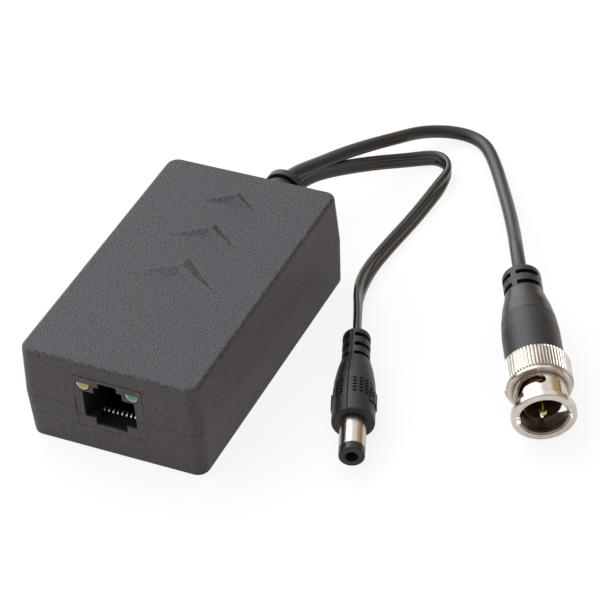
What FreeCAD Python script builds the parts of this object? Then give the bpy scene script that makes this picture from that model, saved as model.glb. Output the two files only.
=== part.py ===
import FreeCAD, Part
import math
import os
import Sketcher

# A video balun for security cameras: a moulded housing with a network socket at one end, and a
# strain relief at the other that lets out a coax lead with a bayonet plug and a twin lead with a
# barrel plug. Lengths are in millimetres. The housing stands on z = 0 with its middle over the
# origin, its socket facing -Y and its leads leaving at +Y.

SIZES = {
    # Housing
    "case_length": 70.0,
    "case_width": 41.0,
    "parting_height": 11.2,
    "height_over_jack": 3.5,
    "wall": 1.8,
    "roof": 1.8,
    "base_floor": 1.8,
    "draft_inset": 0.38,
    "corner_radius": 2.6,
    "cavity_corner_radius": 1.2,
    "top_edge_radius": 0.9,
    "bottom_edge_radius": 0.6,
    "lip_height": 1.2,
    "lip_thickness": 0.8,
    "fit_gap": 0.1,
    "panel_gap": 0.08,
    # Raised arrow marks on the cover
    "arrow_rise": 0.85,
    "arrow_root": 0.4,
    "arrow_1_front": -2.95,
    "arrow_1_reach": 6.2,
    "arrow_1_sweep": 8.9,
    "arrow_1_span": 10.6,
    "arrow_2_front": 11.2,
    "arrow_2_reach": 4.6,
    "arrow_2_sweep": 6.6,
    "arrow_2_span": 8.1,
    "arrow_3_front": 23.8,
    "arrow_3_reach": 3.6,
    "arrow_3_sweep": 5.3,
    "arrow_3_span": 6.6,
    # Screws and their bosses
    "boss_radius": 2.8,
    "boss_bite": 0.3,
    "boss_relief": 0.5,
    "head_radius": 2.1,
    "head_height": 1.4,
    "head_sink": 3.0,
    "shank_radius": 1.15,
    "screw_length": 9.0,
    "pilot_depth": 8.0,
    # Circuit board
    "board_bottom": 4.8,
    "board_thickness": 1.6,
    "board_gap": 0.4,
    "board_corner": 2.0,
    # Network socket
    "jack_width": 15.7,
    "jack_height": 13.1,
    "jack_depth": 21.3,
    "jack_setback": 0.15,
    "socket_width": 11.9,
    "socket_height": 6.78,
    "socket_sill": 2.8,
    "socket_depth": 12.8,
    "notch_width": 7.2,
    "notch_depth": 1.6,
    "latch_width": 6.6,
    "latch_depth": 1.65,
    "key_width": 4.2,
    "key_depth": 1.3,
    "comb_width": 8.6,
    "comb_setback": 2.5,
    "carrier_depth": 5.5,
    "carrier_height": 4.4,
    "peg_radius": 1.55,
    "peg_length": 1.5,
    "peg_spread": 5.7,
    "peg_setback": 8.6,
    # Spring contacts
    "contact_pitch": 1.02,
    "contact_radius": 0.16,
    "contact_rest": 1.93,
    "contact_reach": 3.3,
    "contact_rise": 3.6,
    "contact_run": 7.0,
    "contact_nose": 0.92,
    "contact_back": 0.5,
    # Lamps beside the latch
    "lamp_spread": 5.6,
    "lamp_radius": 1.55,
    "lamp_height": 11.4,
    "lamp_flat": 0.15,
    "lamp_depth": 9.0,
    "lamp_setback": 0.06,
    # Strain relief
    "relief_side": 1.1,
    "flange_radius": 4.3,
    "flange_thickness": 1.5,
    "neck_radius": 3.1,
    "sleeve_radius": 4.2,
    "sleeve_end_radius": 4.0,
    "sleeve_length": 10.2,
    "relief_groove": 0.7,
    "relief_groove_radius": 3.5,
    "collar_radius": 4.6,
    "collar_length": 1.9,
    "collar_round": 0.25,
    # Leads
    "coax_diameter": 2.9,
    "twin_width": 3.0,
    "coax_side": 0.6,
    "coax_lift": 1.0,
    "twin_side": 1.4,
    "twin_lift": -2.0,
    "tail_core_radius": 0.75,
    "tail_wire_radius": 0.6,
    "tail_reach": 9.0,
    # Bayonet plug, measured back from its open end
    "bnc_x": 80.37,
    "bnc_y": -0.59,
    "bnc_z": 6.82,
    "bnc_heading": -62.25,
    "bnc_tilt": 6.0,
    "ring_radius": 6.7,
    "ring_length": 1.3,
    "nut_neck_radius": 5.5,
    "knurl_length": 6.55,
    "knurl_radius": 7.1,
    "knurl_depth": 0.42,
    "knurl_teeth": 60,
    "nut_lip": 1.6,
    "band_length": 0.9,
    "band_radius": 6.7,
    "mouth_radius": 5.2,
    "mouth_length": 0.3,
    "nut_bore_radius": 4.9,
    "nut_seat": 8.5,
    "nut_rear_bore_radius": 5.9,
    "nut_edge": 0.35,
    "slot_width": 2.3,
    "slot_turn_start": -5.0,
    "slot_turn_knee": 50.0,
    "slot_turn_end": 88.0,
    "slot_start": 0.35,
    "slot_knee": 5.9,
    "slot_end": 6.1,
    "detent_radius": 1.2,
    "keyway_depth": 0.75,
    "sleeve_front": 3.2,
    "contact_sleeve_radius": 4.05,
    "contact_sleeve_bore": 3.72,
    "contact_slit": 0.6,
    "contact_slit_length": 3.6,
    "shoulder_radius": 5.55,
    "shoulder_length": 1.3,
    "barrel_radius": 4.5,
    "barrel_seat": 0.6,
    "stub_radius": 3.2,
    "stub_length": 4.1,
    "insulator_radius": 2.6,
    "insulator_front": 7.0,
    "pin_radius": 0.68,
    "pin_front": 0.9,
    "pin_tip": 0.6,
    "gasket_radius": 4.6,
    "gasket_length": 0.8,
    "spring_height": 1.1,
    "spring_thickness": 0.2,
    "washer_inner_radius": 4.8,
    "washer_outer_radius": 5.6,
    "washer_thickness": 0.4,
    "clip_inner_radius": 5.0,
    "clip_outer_radius": 6.2,
    "clip_thickness": 0.8,
    "clip_opening": 50.0,
    "running_gap": 0.1,
    "ferrule_radius": 2.9,
    "ferrule_length": 7.0,
    "nut_boot_gap": 0.2,
    "bnc_boot_radius": 6.1,
    "bnc_boot_grip": 8.45,
    "bnc_boot_taper": 11.8,
    "bnc_tail_radius": 4.15,
    "bnc_boot_tail": 6.2,
    "bnc_tail_round": 1.1,
    "bnc_slot_width": 1.1,
    "bnc_slot_pitch": 2.95,
    "bnc_slot_first": 2.6,
    "bnc_slot_depth": 1.2,
    "bnc_spine_turn": 17.0,
    # Barrel plug, measured back from its nose
    "dc_x": 47.38,
    "dc_y": -22.25,
    "dc_z": 4.13,
    "dc_heading": -68.0,
    "dc_tilt": 3.0,
    "dc_barrel_radius": 2.75,
    "dc_barrel_wall": 0.35,
    "dc_root_radius": 2.25,
    "dc_root_length": 0.3,
    "dc_nose_length": 1.9,
    "dc_nose_radius": 2.7,
    "dc_bore_radius": 1.05,
    "dc_contact_wall": 0.3,
    "dc_contact_setback": 1.5,
    "dc_barrel_reach": 9.4,
    "dc_metal_seat": 3.6,
    "dc_boot_radius": 4.5,
    "dc_boot_round": 0.4,
    "dc_boot_grip": 8.1,
    "dc_boot_taper": 10.5,
    "dc_tail_radius": 2.98,
    "dc_boot_tail": 7.4,
    "dc_tail_round": 1.0,
    "dc_slot_width": 1.1,
    "dc_slot_pitch": 2.85,
    "dc_slot_first": 2.4,
    "dc_slot_depth": 0.9,
    "dc_spine_turn": 21.5,
    "dc_seam_turn": 76.4,
    "dimple_start": 5.1,
    "dimple_pitch": 0.92,
    "dimple_length": 0.5,
    "dimple_depth": 0.42,
    "dimple_width": 0.8,
    "dimple_step": 17.3,
    "dimple_offset": 18.5,
    "rib_start": 4.0,
    "rib_length": 3.6,
    "rib_rise": 0.25,
    "rib_width": 0.62,
    "rib_step": 13.0,
    # Parts on the board
    "core_radius": 4.8,
    "core_hole_radius": 2.4,
    "core_height": 4.2,
    "winding_thickness": 0.7,
    "winding_turn": 130.0,
    "core_x": -8.5,
    "core_y": 2.0,
    "arrester_radius": 2.7,
    "arrester_length": 5.6,
    "arrester_x": -9.5,
    "arrester_inset": 18.4,
    "arrester_pitch": 7.0,
    "choke_radius": 4.0,
    "choke_waist_radius": 3.0,
    "choke_height": 7.0,
    "choke_rim": 1.0,
    "choke_x": 8.0,
    "choke_y": 2.0,
    "can_radius": 4.0,
    "can_height": 11.0,
    "can_x": 8.5,
    "can_inset": 18.9,
    "chip_length": 3.2,
    "chip_width": 1.6,
    "chip_height": 0.9,
    "chip_pitch": 3.2,
    "chip_x": -1.0,
    "chip_back": 6.5,
    "fuse_radius": 3.4,
    "fuse_thickness": 2.6,
    "fuse_x": 8.0,
    "fuse_back": 5.5,
    "disc_radius": 2.8,
    "disc_thickness": 2.2,
    "disc_x": -10.5,
    "disc_back": 5.0,
    "disc_pitch": 4.2,
}

# The leads' routes from the strain relief to the plugs, as seen in the photo: x, y and the height
# of the lead's underside. The first and the last row are the ends as they lie at the sizes above.
COAX_ROUTE = [
    (0.6, 47.2, 10.75),
    (0.6, 48.6, 10.75),
    (1.35, 50.6, 10.8),
    (2.6, 52.9, 10.75),
    (4.9, 56.4, 10.5),
    (8.1, 62.4, 9.85),
    (11.7, 69.9, 8.05),
    (15.0, 77.4, 5.65),
    (17.1, 82.9, 3.75),
    (19.7, 87.1, 1.95),
    (22.9, 89.6, 0.85),
    (26.5, 90.4, 0.3),
    (30.0, 89.6, 0.1),
    (33.0, 87.4, 0.06),
    (37.0, 82.0, 0.15),
    (42.0, 73.6, 1.05),
    (48.0, 62.7, 3.75),
    (53.6, 51.6, 6.75),
    (58.28, 41.39, 10.36),
    (61.52, 35.23, 9.62),
]
TWIN_ROUTE = [
    (1.4, 47.2, 7.7),
    (1.4, 48.6, 7.7),
    (2.1, 50.5, 7.7),
    (3.4, 52.7, 7.5),
    (5.8, 56.5, 7.05),
    (9.3, 61.9, 5.95),
    (13.4, 68.9, 3.7),
    (17.8, 75.1, 1.4),
    (21.3, 78.6, 0.3),
    (23.3, 79.5, 0.1),
    (25.5, 79.3, 0.06),
    (27.3, 78.0, 0.06),
    (28.4, 76.1, 0.06),
    (28.8, 72.9, 0.06),
    (28.9, 66.6, 0.06),
    (28.1, 56.2, 0.06),
    (26.8, 46.0, 0.06),
    (26.0, 36.4, 0.4),
    (26.8, 27.6, 1.7),
    (31.89, 16.08, 4.8),
    (34.14, 10.53, 4.48),
]

doc = FreeCAD.newDocument("video_balun")
finished = []


class Size:
    """A number together with the expression that ties it to the sheet."""

    def __init__(self, text, value):
        self.text = text
        self.value = value

    def __float__(self):
        return float(self.value)

    def __neg__(self):
        return Size("(-%s)" % self.text, -self.value)

    def __add__(self, other):
        other = size(other)
        return Size("(%s + %s)" % (self.text, other.text), self.value + other.value)

    def __sub__(self, other):
        other = size(other)
        return Size("(%s - %s)" % (self.text, other.text), self.value - other.value)

    def __mul__(self, other):
        other = size(other)
        return Size("(%s * %s)" % (self.text, other.text), self.value * other.value)

    def __truediv__(self, other):
        other = size(other)
        return Size("(%s / %s)" % (self.text, other.text), self.value / other.value)

    def __radd__(self, other):
        return size(other) + self

    def __rsub__(self, other):
        return size(other) - self

    def __rmul__(self, other):
        return size(other) * self


def size(value):
    """A plain number as a Size, and a Size as it is."""
    if isinstance(value, Size):
        return value
    return Size("%g" % value, float(value))


def slope(rise, run):
    """The angle, in degrees, of a slope."""
    text = "atan(%s / %s)" % (rise.text, run.text)
    return Size(text, math.degrees(math.atan(rise.value / run.value)))


class Sheet:
    """The spreadsheet of driving sizes, each read by its alias."""

    def __init__(self, table):
        self.page = doc.addObject("Spreadsheet::Sheet", "Sizes")
        for row, (alias, value) in enumerate(table.items(), start=1):
            self.page.set("A%d" % row, alias)
            self.page.set("B%d" % row, str(value))
            self.page.setAlias("B%d" % row, alias)
        doc.recompute()
        for alias in table:
            setattr(self, alias, Size("Sizes." + alias, float(self.page.get(alias))))


S = Sheet(SIZES)


def tie(thing, **values):
    """Ties properties of an object to sizes."""
    for name, value in values.items():
        thing.setExpression(name, size(value).text)


def finish(thing, name):
    """Names a finished sub-part, which is written under that name."""
    thing.Label = name
    finished.append(thing)
    return thing


# Sketches and features of bodies


def new_body(name):
    return doc.addObject("PartDesign::Body", name)


def new_sketch(body, role, lift=0):
    """A sketch on one of the body's own planes, lifted along the plane's normal."""
    drawing = body.newObject("Sketcher::SketchObject", "Sketch")
    plane = next(part for part in body.Origin.OriginFeatures if part.Role == role)
    drawing.AttachmentSupport = (plane, "")
    drawing.MapMode = "FlatFace"
    drawing.setExpression("AttachmentOffset.Base.z", size(lift).text)
    return drawing


def pin_point(drawing, line, end, point):
    """Ties one end of a sketch line to two sizes, measured from the sketch's origin."""
    for kind, value in zip(("DistanceX", "DistanceY"), point):
        value = size(value)
        rule = drawing.addConstraint(Sketcher.Constraint(kind, -1, 1, line, end, value.value))
        drawing.setExpression("Constraints[%d]" % rule, value.text)


def outline(drawing, points):
    """A closed outline of straight lines, every corner tied to sizes."""
    first = drawing.GeometryCount
    corners = [FreeCAD.Vector(float(x), float(y), 0) for x, y in points]
    count = len(corners)
    for i in range(count):
        drawing.addGeometry(Part.LineSegment(corners[i], corners[(i + 1) % count]))
    for i in range(count):
        joint = Sketcher.Constraint("Coincident", first + i, 2, first + (i + 1) % count, 1)
        drawing.addConstraint(joint)
    for i, point in enumerate(points):
        pin_point(drawing, first + i, 1, point)
    return drawing


def rectangle(drawing, left, right, low, high):
    return outline(drawing, [(left, low), (right, low), (right, high), (left, high)])


def centred(drawing, width, height):
    return rectangle(drawing, -width / 2, width / 2, -height / 2, height / 2)


def circle(drawing, x, y, radius):
    """A circle whose centre and radius are tied to sizes."""
    middle = FreeCAD.Vector(float(x), float(y), 0)
    index = drawing.addGeometry(Part.Circle(middle, FreeCAD.Vector(0, 0, 1), float(radius)))
    pin_point(drawing, index, 3, (x, y))
    rule = drawing.addConstraint(Sketcher.Constraint("Radius", index, float(radius)))
    drawing.setExpression("Constraints[%d]" % rule, size(radius).text)
    return drawing


def feature(body, kind, drawing, **settings):
    """A sketched feature of a body; sizes among its settings are tied to the sheet."""
    made = body.newObject("PartDesign::" + kind, kind)
    made.Profile = drawing
    for name, value in settings.items():
        if isinstance(value, Size):
            made.setExpression(name, value.text)
        else:
            setattr(made, name, value)
    return made


def pad(body, drawing, length, **settings):
    return feature(body, "Pad", drawing, Length=length, **settings)


def pocket(body, drawing, length, **settings):
    return feature(body, "Pocket", drawing, Length=length, **settings)


def turned(body, drawing, kind="Revolution", **settings):
    """A solid or a groove turned about the sketch's upright axis."""
    made = feature(body, kind, drawing, **settings)
    made.ReferenceAxis = (drawing, ["V_Axis"])
    return made


def dress(body, kind, test, **values):
    """A fillet or chamfer on the edges of the body so far that pass a test."""
    doc.recompute()
    base = body.Tip
    names = ["Edge%d" % (i + 1) for i, edge in enumerate(base.Shape.Edges) if test(edge)]
    made = body.newObject("PartDesign::" + kind, kind)
    made.Base = (base, names)
    tie(made, **values)
    return made


def around(body, original, count, turn=360):
    """Repeats a feature about the body's Z axis."""
    made = body.newObject("PartDesign::PolarPattern", "PolarPattern")
    made.Originals = [original]
    made.Axis = (next(part for part in body.Origin.OriginFeatures if part.Role == "Z_Axis"), [""])
    tie(made, Occurrences=count)
    made.Angle = turn
    body.Tip = made
    return made


def in_row(body, original, role, count, length):
    """Repeats a feature along one of the body's axes."""
    made = body.newObject("PartDesign::LinearPattern", "LinearPattern")
    made.Originals = [original]
    made.Direction = (next(part for part in body.Origin.OriginFeatures if part.Role == role), [""])
    made.Occurrences = count
    tie(made, Length=length)
    body.Tip = made
    return made


# Tests that pick edges by where they are


def upright(edge):
    """True for a straight edge that rises more than it runs."""
    run = edge.Vertexes[-1].Point - edge.Vertexes[0].Point
    return abs(run.z) > 0.9 * run.Length > 0


def at_height(value, tolerance=0.001):
    def test(edge):
        box = edge.BoundBox
        return abs(box.ZMin - float(value)) < tolerance and abs(box.ZMax - float(value)) < tolerance

    return test


def both(*tests):
    return lambda edge: all(test(edge) for test in tests)


def outside(half_width, half_length):
    """True for an edge whose middle lies outside a rectangle about the Z axis."""

    def test(edge):
        middle = edge.BoundBox.Center
        return abs(middle.x) > float(half_width) or abs(middle.y) > float(half_length)

    return test


def inside_box(half_width, half_length):
    beyond = outside(half_width, half_length)
    return lambda edge: not beyond(edge)


# Primitives


def primitive(kind, name, place=(0, 0, 0), turn=None, **values):
    """A Part primitive whose sizes and place are tied to the sheet."""
    made = doc.addObject("Part::" + kind, name)
    tie(made, **values)
    if turn:
        made.Placement.Rotation = turn
    for letter, value in zip("xyz", place):
        made.setExpression(".Placement.Base." + letter, size(value).text)
    return made


def join(name, things):
    made = doc.addObject("Part::MultiFuse", name)
    made.Shapes = things
    return made


def cut(name, base, tool):
    made = doc.addObject("Part::Cut", name)
    made.Base = base
    made.Tool = tool
    return made


def shaped(name, shape):
    """A solid or group of solids made straight from Part's own functions."""
    made = doc.addObject("Part::Feature", name)
    made.Shape = shape
    return made


ALONG_Y = FreeCAD.Rotation(FreeCAD.Vector(1, 0, 0), -90)
AGAINST_Y = FreeCAD.Rotation(FreeCAD.Vector(1, 0, 0), 90)
ALONG_X = FreeCAD.Rotation(FreeCAD.Vector(0, 1, 0), 90)
ROUND_SHARE = 0.45


def laid(route, start, tail, radius):
    """A route's points: each moves with the nearer end, and the last two lie on the plug's axis."""
    last = len(route) - 1
    shifts = [(end[0] - row[0], end[1] - row[1]) for end, row in ((start, route[0]), (tail[-1], route[-1]))]
    rises = [(end[2] - radius) / row[2] for end, row in ((start, route[0]), (tail[-1], route[-1]))]
    points = [start]
    for i, (x, y, low) in enumerate(route[1:-2], start=1):
        share = (i - 1) / (last - 2)
        points.append((
            x + shifts[0][0] * (1 - share) + shifts[1][0] * share,
            y + shifts[0][1] * (1 - share) + shifts[1][1] * share,
            radius + low * (rises[0] * (1 - share) + rises[1] * share)))
    return points + tail


def route_wire(points):
    """Straight runs joined by tangent arcs, and the radius of each arc."""
    points = [FreeCAD.Vector(*point) for point in points]
    edges = []
    radii = []
    start = points[0]
    for before, corner, after in zip(points, points[1:], points[2:]):
        back = before - corner
        onward = after - corner
        turn = math.pi - back.getAngle(onward)
        trim = ROUND_SHARE * min(back.Length, onward.Length)
        radius = trim / math.tan(turn / 2)
        back.normalize()
        onward.normalize()
        enter = corner + back * trim
        leave = corner + onward * trim
        middle = corner + (back + onward).normalize() * (radius / math.cos(turn / 2) - radius)
        edges.append(Part.LineSegment(start, enter).toShape())
        edges.append(Part.Arc(enter, middle, leave).toShape())
        radii.append(radius)
        start = leave
    edges.append(Part.LineSegment(start, points[-1]).toShape())
    return Part.Wire(edges), radii


def tube(points, radius):
    """A round bar along a route of runs and arcs."""
    path, radii = route_wire(points)
    along = FreeCAD.Vector(*points[1]) - FreeCAD.Vector(*points[0])
    ring = Part.Circle(FreeCAD.Vector(*points[0]), along, radius).toShape()
    solid = path.makePipeShell([Part.Wire([ring])], True, False)
    return solid, path, radii


def bar(points, half):
    """A square strip along a route that lies in a plane of constant x."""
    path = route_wire(points)[0]
    start = FreeCAD.Vector(*points[0])
    along = (FreeCAD.Vector(*points[1]) - start).normalize()
    side = FreeCAD.Vector(half, 0, 0)
    out = along.cross(FreeCAD.Vector(1, 0, 0)) * half
    corners = [start + side + out, start - side + out, start - side - out, start + side - out]
    return path.makePipeShell([Part.makePolygon(corners + corners[:1])], True, False)


def cord(name, points, diameter):
    """The solid of a lead, with its arcs' radii and its volume printed for a check."""
    solid, path, radii = tube(points, diameter / 2)
    section = math.pi * diameter**2 / 4
    print("%s: %.1f mm long, volume over section times length %.4f, lowest point %.3f"
          % (name, path.Length, solid.Volume / (section * path.Length), solid.BoundBox.ZMin))
    print("  radii " + " ".join("%.1f" % radius for radius in radii))
    return finish(shaped(name, solid), name)


# Places that several sub-parts share

case_half_width = S.case_width / 2
case_half_length = S.case_length / 2
cavity_half_width = case_half_width - S.draft_inset - S.wall
cavity_half_length = case_half_length - S.draft_inset - S.wall
board_top = S.board_bottom + S.board_thickness
board_back = cavity_half_length - S.board_gap
boss_x = cavity_half_width - S.boss_radius + S.boss_bite
boss_y = cavity_half_length - S.boss_radius + S.boss_bite
jack_front = S.jack_setback - case_half_length
jack_back = jack_front + S.jack_depth
jack_top = board_top + S.jack_height
case_height = jack_top + S.height_over_jack
socket_low = board_top + S.socket_sill
socket_high = socket_low + S.socket_height
socket_back = jack_front + S.socket_depth
cut_depth = S.wall + S.draft_inset + 2
shoulder_start = S.nut_seat + S.running_gap
spring_start = shoulder_start + S.shoulder_length + S.running_gap / 2
washer_start = spring_start + S.spring_height + S.running_gap / 2
clip_start = washer_start + S.washer_thickness + S.running_gap
clip_end = clip_start + S.clip_thickness
nut_length = clip_end + S.fit_gap / 2 + S.nut_lip
knurl_start = nut_length - S.knurl_length
teeth_start = knurl_start + S.band_length
bnc_boot_front = nut_length + S.nut_boot_gap
barrel_end = bnc_boot_front + S.barrel_seat
stub_end = barrel_end + S.stub_length
bnc_boot_shoulder = bnc_boot_front + S.bnc_boot_grip
bnc_boot_waist = bnc_boot_shoulder + S.bnc_boot_taper
bnc_boot_end = bnc_boot_waist + S.bnc_boot_tail
dc_boot_shoulder = S.dc_barrel_reach + S.dc_boot_grip
dc_boot_waist = dc_boot_shoulder + S.dc_boot_taper
dc_boot_end = dc_boot_waist + S.dc_boot_tail
dc_metal_end = S.dc_barrel_reach + S.dc_metal_seat


def boss_circles(drawing, radius):
    for x in (-boss_x, boss_x):
        for y in (-boss_y, boss_y):
            circle(drawing, x, y, radius)
    return drawing


def open_for_jack(body, low, high):
    """The window in the front wall that the socket's face fills."""
    side = S.jack_width / 2 + S.panel_gap
    drawing = rectangle(new_sketch(body, "XZ_Plane", case_half_length + 1), -side, side, low, high)
    return pocket(body, drawing, cut_depth)


def open_for_relief(body):
    """The round hole in the rear wall, half in each shell, that grips the strain relief."""
    drawing = new_sketch(body, "XZ_Plane", -(case_half_length + 1))
    circle(drawing, S.relief_side, S.parting_height, S.neck_radius + S.fit_gap)
    return pocket(body, drawing, cut_depth, Reversed=True)


def shell(name, height, edge_radius, end_height, upward):
    """A drafted moulding on the parting plane, rounded at its corners and its far edge."""
    body = new_body(name)
    drawing = centred(new_sketch(body, "XY_Plane", S.parting_height), S.case_width, S.case_length)
    pad(body, drawing, height, TaperAngle=-slope(S.draft_inset, height), Reversed=not upward)
    dress(body, "Fillet", upright, Radius=S.corner_radius)
    dress(body, "Fillet", at_height(end_height), Radius=edge_radius)
    return body


def round_cavity(body):
    """Rounds the upright corners of the cavity."""
    near = inside_box(cavity_half_width + 0.01, cavity_half_length + 0.01)
    dress(body, "Fillet", both(upright, near), Radius=S.cavity_corner_radius)


def make_top_cover():
    body = shell("top_shell", case_height - S.parting_height, S.top_edge_radius, case_height, True)
    drawing = centred(new_sketch(body, "XY_Plane", S.parting_height), cavity_half_width * 2, cavity_half_length * 2)
    pocket(body, drawing, case_height - S.roof - S.parting_height, Reversed=True)
    round_cavity(body)
    drawing = new_sketch(body, "XY_Plane", S.parting_height)
    centred(drawing, (cavity_half_width + S.lip_thickness) * 2, (cavity_half_length + S.lip_thickness) * 2)
    centred(drawing, cavity_half_width * 2, cavity_half_length * 2)
    pad(body, drawing, S.lip_height, Reversed=True)
    drawing = boss_circles(new_sketch(body, "XY_Plane", board_top + S.fit_gap), S.boss_radius - S.boss_relief)
    pad(body, drawing, case_height - S.roof - board_top - S.fit_gap)
    drawing = boss_circles(new_sketch(body, "XY_Plane", board_top + S.fit_gap), S.shank_radius)
    pocket(body, drawing, S.pilot_depth, Reversed=True)
    open_for_jack(body, S.parting_height - S.lip_height - 1, jack_top + S.panel_gap)
    open_for_relief(body)
    arrows = [make_arrow(*arrow) for arrow in (
        (S.arrow_1_front, S.arrow_1_reach, S.arrow_1_sweep, S.arrow_1_span),
        (S.arrow_2_front, S.arrow_2_reach, S.arrow_2_sweep, S.arrow_2_span),
        (S.arrow_3_front, S.arrow_3_reach, S.arrow_3_sweep, S.arrow_3_span),
    )]
    return finish(join("cover_with_arrows", [body] + arrows), "top_cover")


def make_arrow(front, reach, sweep, span):
    """A low raised arrow head: four facets that fall from one crest to a swept outline."""
    front, reach, sweep, span = map(float, (front, reach, sweep, span))
    top = float(case_height)
    left, tip, right, inner = [
        FreeCAD.Vector(-span, front + reach - sweep, top),
        FreeCAD.Vector(0, front + reach, top),
        FreeCAD.Vector(span, front + reach - sweep, top),
        FreeCAD.Vector(0, front, top),
    ]
    crest = FreeCAD.Vector(0, front + reach / 2, top + float(S.arrow_rise))
    foot = [left, tip, right, inner]
    sunk = [point - FreeCAD.Vector(0, 0, float(S.arrow_root)) for point in foot]
    loops = [[a, b, crest] for a, b in zip(foot, foot[1:] + foot[:1])]
    loops += [[a, b, d, c] for a, b, c, d in zip(foot, foot[1:] + foot[:1], sunk, sunk[1:] + sunk[:1])]
    loops.append(sunk)
    faces = [Part.Face(Part.makePolygon(loop + loop[:1])) for loop in loops]
    solid = Part.Solid(Part.Shell(faces))
    if solid.Volume < 0:
        solid.reverse()
    return shaped("arrow", solid)


def make_bottom_case():
    body = shell("bottom_case", S.parting_height, S.bottom_edge_radius, size(0), False)
    drawing = centred(new_sketch(body, "XY_Plane", S.parting_height), cavity_half_width * 2, cavity_half_length * 2)
    pocket(body, drawing, S.parting_height - S.base_floor)
    round_cavity(body)
    rebate = S.lip_thickness + S.fit_gap
    drawing = centred(new_sketch(body, "XY_Plane", S.parting_height), (cavity_half_width + rebate) * 2, (cavity_half_length + rebate) * 2)
    pocket(body, drawing, S.lip_height + S.fit_gap)
    drawing = boss_circles(new_sketch(body, "XY_Plane", S.base_floor), S.boss_radius)
    pad(body, drawing, S.board_bottom - S.base_floor)
    drawing = boss_circles(new_sketch(body, "XY_Plane"), S.head_radius + S.fit_gap * 2)
    pocket(body, drawing, S.head_sink, Reversed=True)
    drawing = boss_circles(new_sketch(body, "XY_Plane"), S.shank_radius + S.fit_gap * 2)
    pocket(body, drawing, S.board_bottom + 1, Reversed=True)
    open_for_jack(body, board_top - S.panel_gap, S.parting_height + 1)
    open_for_relief(body)
    return finish(body, "bottom_case")


def make_case_screws():
    """Four self-tapping screws, driven from below into the cover's bosses."""
    screws = []
    for x in (-boss_x, boss_x):
        for y in (-boss_y, boss_y):
            head = primitive("Cylinder", "head", (x, y, S.head_sink - S.head_height), Radius=S.head_radius, Height=S.head_height)
            shank = primitive("Cylinder", "shank", (x, y, S.head_sink), Radius=S.shank_radius, Height=S.screw_length - 1.5)
            point = primitive(
                "Cone", "point", (x, y, S.head_sink + S.screw_length - 1.5),
                Radius1=S.shank_radius, Radius2=S.shank_radius / 4, Height=1.5)
            slots = [primitive("Box", "slot", (x - length / 2, y - width / 2, S.head_sink - S.head_height), Length=length, Width=width, Height=S.head_height / 2)
                     for length, width in ((S.head_radius * 1.2, size(0.5)), (size(0.5), S.head_radius * 1.2))]
            screws.append(cut("screw", join("screw_blank", [head, shank, point]), join("cross", slots)))
    group = doc.addObject("Part::Compound", "screws")
    group.Links = screws
    return finish(group, "case_screws")


def make_board():
    body = new_body("circuit_board")
    half_width = cavity_half_width - S.board_gap
    half_length = cavity_half_length - S.board_gap
    drawing = centred(new_sketch(body, "XY_Plane", S.board_bottom), half_width * 2, half_length * 2)
    pad(body, drawing, S.board_thickness)
    dress(body, "Chamfer", upright, Size=S.board_corner)
    drawing = boss_circles(new_sketch(body, "XY_Plane", S.board_bottom), S.shank_radius + S.fit_gap * 2)
    pocket(body, drawing, S.board_thickness, Reversed=True)
    drawing = new_sketch(body, "XY_Plane", S.board_bottom)
    for x in (-S.peg_spread, S.peg_spread):
        circle(drawing, x, jack_front + S.peg_setback, S.peg_radius + S.fit_gap)
    pocket(body, drawing, S.board_thickness, Reversed=True)
    return finish(body, "circuit_board")


def make_jack_housing():
    body = new_body("jack_housing")
    side = S.jack_width / 2
    drawing = rectangle(new_sketch(body, "XZ_Plane", -jack_front), -side, side, board_top, jack_top)
    pad(body, drawing, S.jack_depth, Reversed=True)
    latch_high = socket_high + S.latch_depth
    corners = [
        (S.notch_width / 2, socket_low - S.notch_depth),
        (S.notch_width / 2, socket_low),
        (S.socket_width / 2, socket_low),
        (S.socket_width / 2, socket_high),
        (S.latch_width / 2, socket_high),
        (S.latch_width / 2, latch_high),
        (S.key_width / 2, latch_high),
        (S.key_width / 2, latch_high + S.key_depth),
    ]
    corners += [(-x, z) for x, z in reversed(corners)]
    pocket(body, outline(new_sketch(body, "XZ_Plane", -jack_front), corners), S.socket_depth)
    drawing = new_sketch(body, "XZ_Plane", -(jack_front + S.comb_setback))
    rectangle(drawing, -S.comb_width / 2, S.comb_width / 2, socket_low - S.notch_depth, socket_low + S.notch_depth)
    pocket(body, drawing, S.socket_depth - S.comb_setback)
    drawing = new_sketch(body, "XZ_Plane", -socket_back)
    rectangle(drawing, -S.comb_width / 2, S.comb_width / 2, board_top - 1, board_top + S.carrier_height)
    pocket(body, drawing, S.carrier_depth)
    for x in (-S.lamp_spread, S.lamp_spread):
        reach = S.lamp_radius + S.fit_gap
        middle = board_top + S.lamp_height
        pocket(body, circle(new_sketch(body, "XZ_Plane", -jack_front), x, middle, reach), S.lamp_depth + S.lamp_setback)
        drawing = rectangle(new_sketch(body, "XZ_Plane", -jack_front), x - reach, x + reach, middle, middle + S.lamp_flat + S.fit_gap)
        pocket(body, drawing, S.lamp_depth + S.lamp_setback)
    drawing = new_sketch(body, "XY_Plane", board_top)
    for x in (-S.peg_spread, S.peg_spread):
        circle(drawing, x, jack_front + S.peg_setback, S.peg_radius)
    pad(body, drawing, S.peg_length, Reversed=True)
    return finish(body, "jack_housing")


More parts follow.
